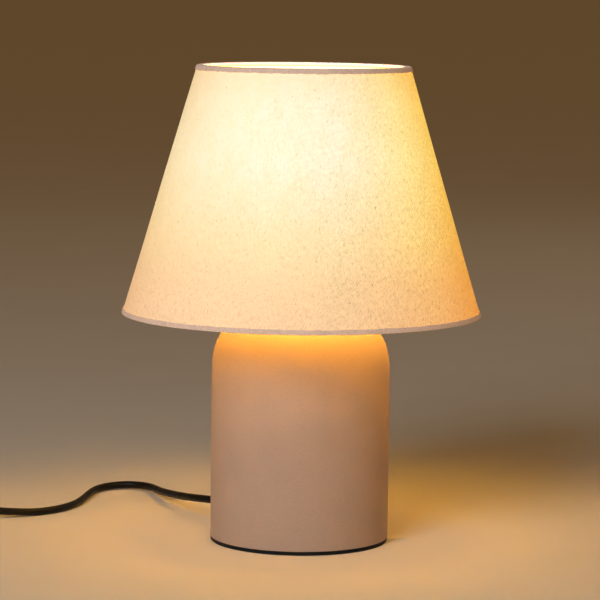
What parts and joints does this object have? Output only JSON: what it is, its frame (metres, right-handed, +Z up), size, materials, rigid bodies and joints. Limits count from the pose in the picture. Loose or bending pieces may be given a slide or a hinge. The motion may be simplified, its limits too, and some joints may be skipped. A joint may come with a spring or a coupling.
{
  "type": "table lamp",
  "caption": "Table lamp with a domed cylindrical steel base, a conical fabric shade on a screw-in lampholder, an opal bulb, and a mains lead with an inline rocker switch.",
  "frame": {"origin": "on the lamp's vertical axis, on the surface that the foot rests on", "axes": "+Z up along the lamp's axis; the lead leaves the base at the back left, between -X and +Y"},
  "size_m": [0.5412, 0.4146, 0.4],
  "materials": {
    "powder_coat": "matte fine-textured powder coat, warm stone grey",
    "black_rubber": "matte black",
    "black_steel": "satin black paint",
    "zinc_plate": "bright zinc plate",
    "cast_iron": "as cast, oiled",
    "brass": "plain, machined",
    "nickel": "nickel plate, rolled thread",
    "white_plastic": "satin white moulded",
    "black_plastic": "satin black moulded",
    "ceramic": "unglazed steatite",
    "white_steel": "white stove enamel",
    "white_film": "translucent white lining film",
    "linen": "natural linen and cotton weave with slubs, lit from inside",
    "trim_tape": "greige woven tape folded over the edge",
    "opal_glass": "opal, lit warm white",
    "clear_glass": "clear",
    "black_glass": "black vitrified insulator",
    "phosphor": "yellow phosphor coat",
    "black_pvc": "smooth black flexible sheath",
    "brown_pvc": "brown core insulation",
    "blue_pvc": "blue core insulation",
    "black_tie": "black woven strap"
  },
  "bodies": {
    "base": {"foot_pad": "black_rubber", "bottom_plate": "black_steel", "plate_screw_1": "zinc_plate", "plate_screw_2": "zinc_plate", "plate_screw_3": "zinc_plate", "ballast": "cast_iron", "ballast_bolt": "zinc_plate", "base_shell": "powder_coat", "shell_ring": "zinc_plate", "strain_relief": "black_pvc", "cord_clamp": "zinc_plate", "clamp_screw_1": "zinc_plate", "clamp_screw_2": "zinc_plate", "inner_lead": "black_pvc", "wire_live": "brown_pvc", "wire_neutral": "blue_pvc", "nipple": "brass", "lock_nut": "zinc_plate", "seat_washer": "zinc_plate", "holder_cap": "white_plastic", "holder_insert": "ceramic", "live_terminal": "brass", "neutral_terminal": "brass", "screw_shell": "nickel", "centre_contact": "brass", "holder_skirt": "white_plastic", "cord_lamp_side": "black_pvc", "switch_lower": "black_plastic", "switch_upper": "black_plastic", "switch_pin": "zinc_plate", "switch_screw_1": "zinc_plate", "switch_screw_2": "zinc_plate", "switch_terminal_1": "brass", "switch_terminal_2": "brass", "cord_coil_lead": "black_pvc", "cord_coil": "black_pvc", "cord_tie": "black_tie", "cord_tail": "black_pvc", "plug_relief": "black_pvc", "plug_body": "black_pvc", "plug_pin_1": "nickel", "plug_pin_2": "nickel"},
    "shade": {"shade_fabric": "linen", "shade_lining": "white_film", "bottom_wire": "white_steel", "top_wire": "white_steel", "bottom_trim": "trim_tape", "top_trim": "trim_tape", "fitter_ring": "white_steel", "fitter_arm_1": "white_steel", "fitter_arm_2": "white_steel", "fitter_arm_3": "white_steel"},
    "shade_ring": {"shade_ring": "white_plastic"},
    "bulb_carrier": {"bulb_insulator": "black_glass"},
    "bulb": {"bulb_contact": "brass", "bulb_screw_cap": "nickel", "bulb_glass": "opal_glass", "bulb_stem": "clear_glass", "led_filament": "phosphor"},
    "rocker": {"switch_rocker": "black_plastic"}
  },
  "joints": [
    {"name": "shade_turn", "type": "hinge", "parent": "base", "child": "shade", "pos_m": [0, 0, 0.2173], "axis": [0, 0, 1], "continuous": true},
    {"name": "shade_ring_turn", "type": "hinge", "parent": "base", "child": "shade_ring", "pos_m": [0, 0, 0.222], "axis": [0, 0, 1], "range_deg": [0, 1080]},
    {"name": "bulb_rise", "type": "slide", "parent": "base", "child": "bulb_carrier", "axis": [0, 0, 1], "range_m": [0, 0.0218]},
    {"name": "bulb_turn", "type": "hinge", "parent": "bulb_carrier", "child": "bulb", "pos_m": [0, 0, 0.236], "axis": [0, 0, 1], "range_deg": [0, 2160]},
    {"name": "rocker_tilt", "type": "hinge", "parent": "base", "child": "rocker", "pos_m": [-0.31, 0.073, 0.0133], "axis": [0, 1, 0], "range_deg": [-14, 0]}
  ],
  "couplings": [
    {"joint": "bulb_rise", "follows": "bulb_turn", "m_per_rad": 0.00057757}
  ]
}
